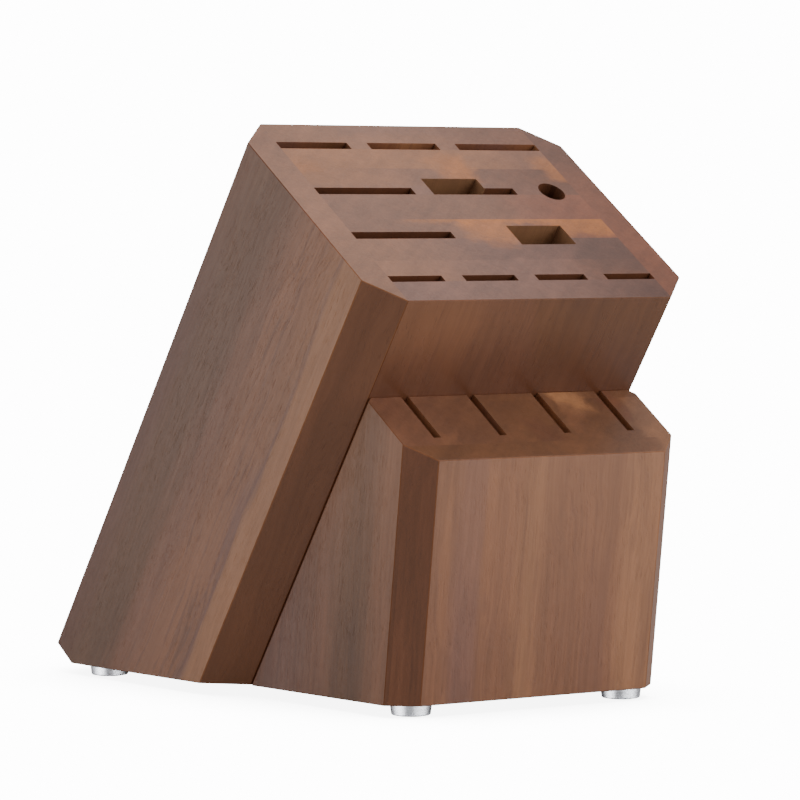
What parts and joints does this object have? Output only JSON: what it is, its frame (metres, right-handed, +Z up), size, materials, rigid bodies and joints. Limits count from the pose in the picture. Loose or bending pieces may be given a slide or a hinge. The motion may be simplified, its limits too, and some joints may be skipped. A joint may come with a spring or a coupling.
{
  "type": "knife block",
  "caption": "Leaning wooden knife block with a stepped front block for steak knives, slots for blades, shears and a honing steel, on turned metal feet.",
  "frame": {"origin": "on the ground, at the centre of the whole outline seen from above", "axes": "+Z up; -Y is the front, where the front block stands; +X is to the right seen from the front"},
  "size_m": [0.16, 0.257, 0.2341],
  "materials": {
    "cheek_wood": "satin oiled",
    "core_wood": "satin oiled",
    "front_wood": "satin oiled",
    "dowel_wood": "raw beech",
    "aluminium": "fine turned",
    "steel": "zinc plated",
    "rubber": "matt"
  },
  "bodies": {
    "root": {"left_cheek": "cheek_wood", "right_cheek": "cheek_wood", "core_back_slotted": "core_wood", "core_spacer_back": "core_wood", "core_second_slotted": "core_wood", "core_spacer_middle": "core_wood", "core_third_slotted": "core_wood", "core_spacer_front": "core_wood", "core_fourth_slotted": "core_wood", "core_underside": "core_wood", "front_panel": "front_wood", "front_body_board_1": "front_wood", "front_body_board_2": "front_wood", "front_body_board_3": "front_wood", "front_body_board_4": "front_wood", "locating_dowels": "dowel_wood", "foot_front_left": "aluminium", "foot_front_right": "aluminium", "foot_rear_left": "aluminium", "foot_rear_right": "aluminium", "foot_screws": "steel", "foot_pads": "rubber"}
  },
  "joints": []
}
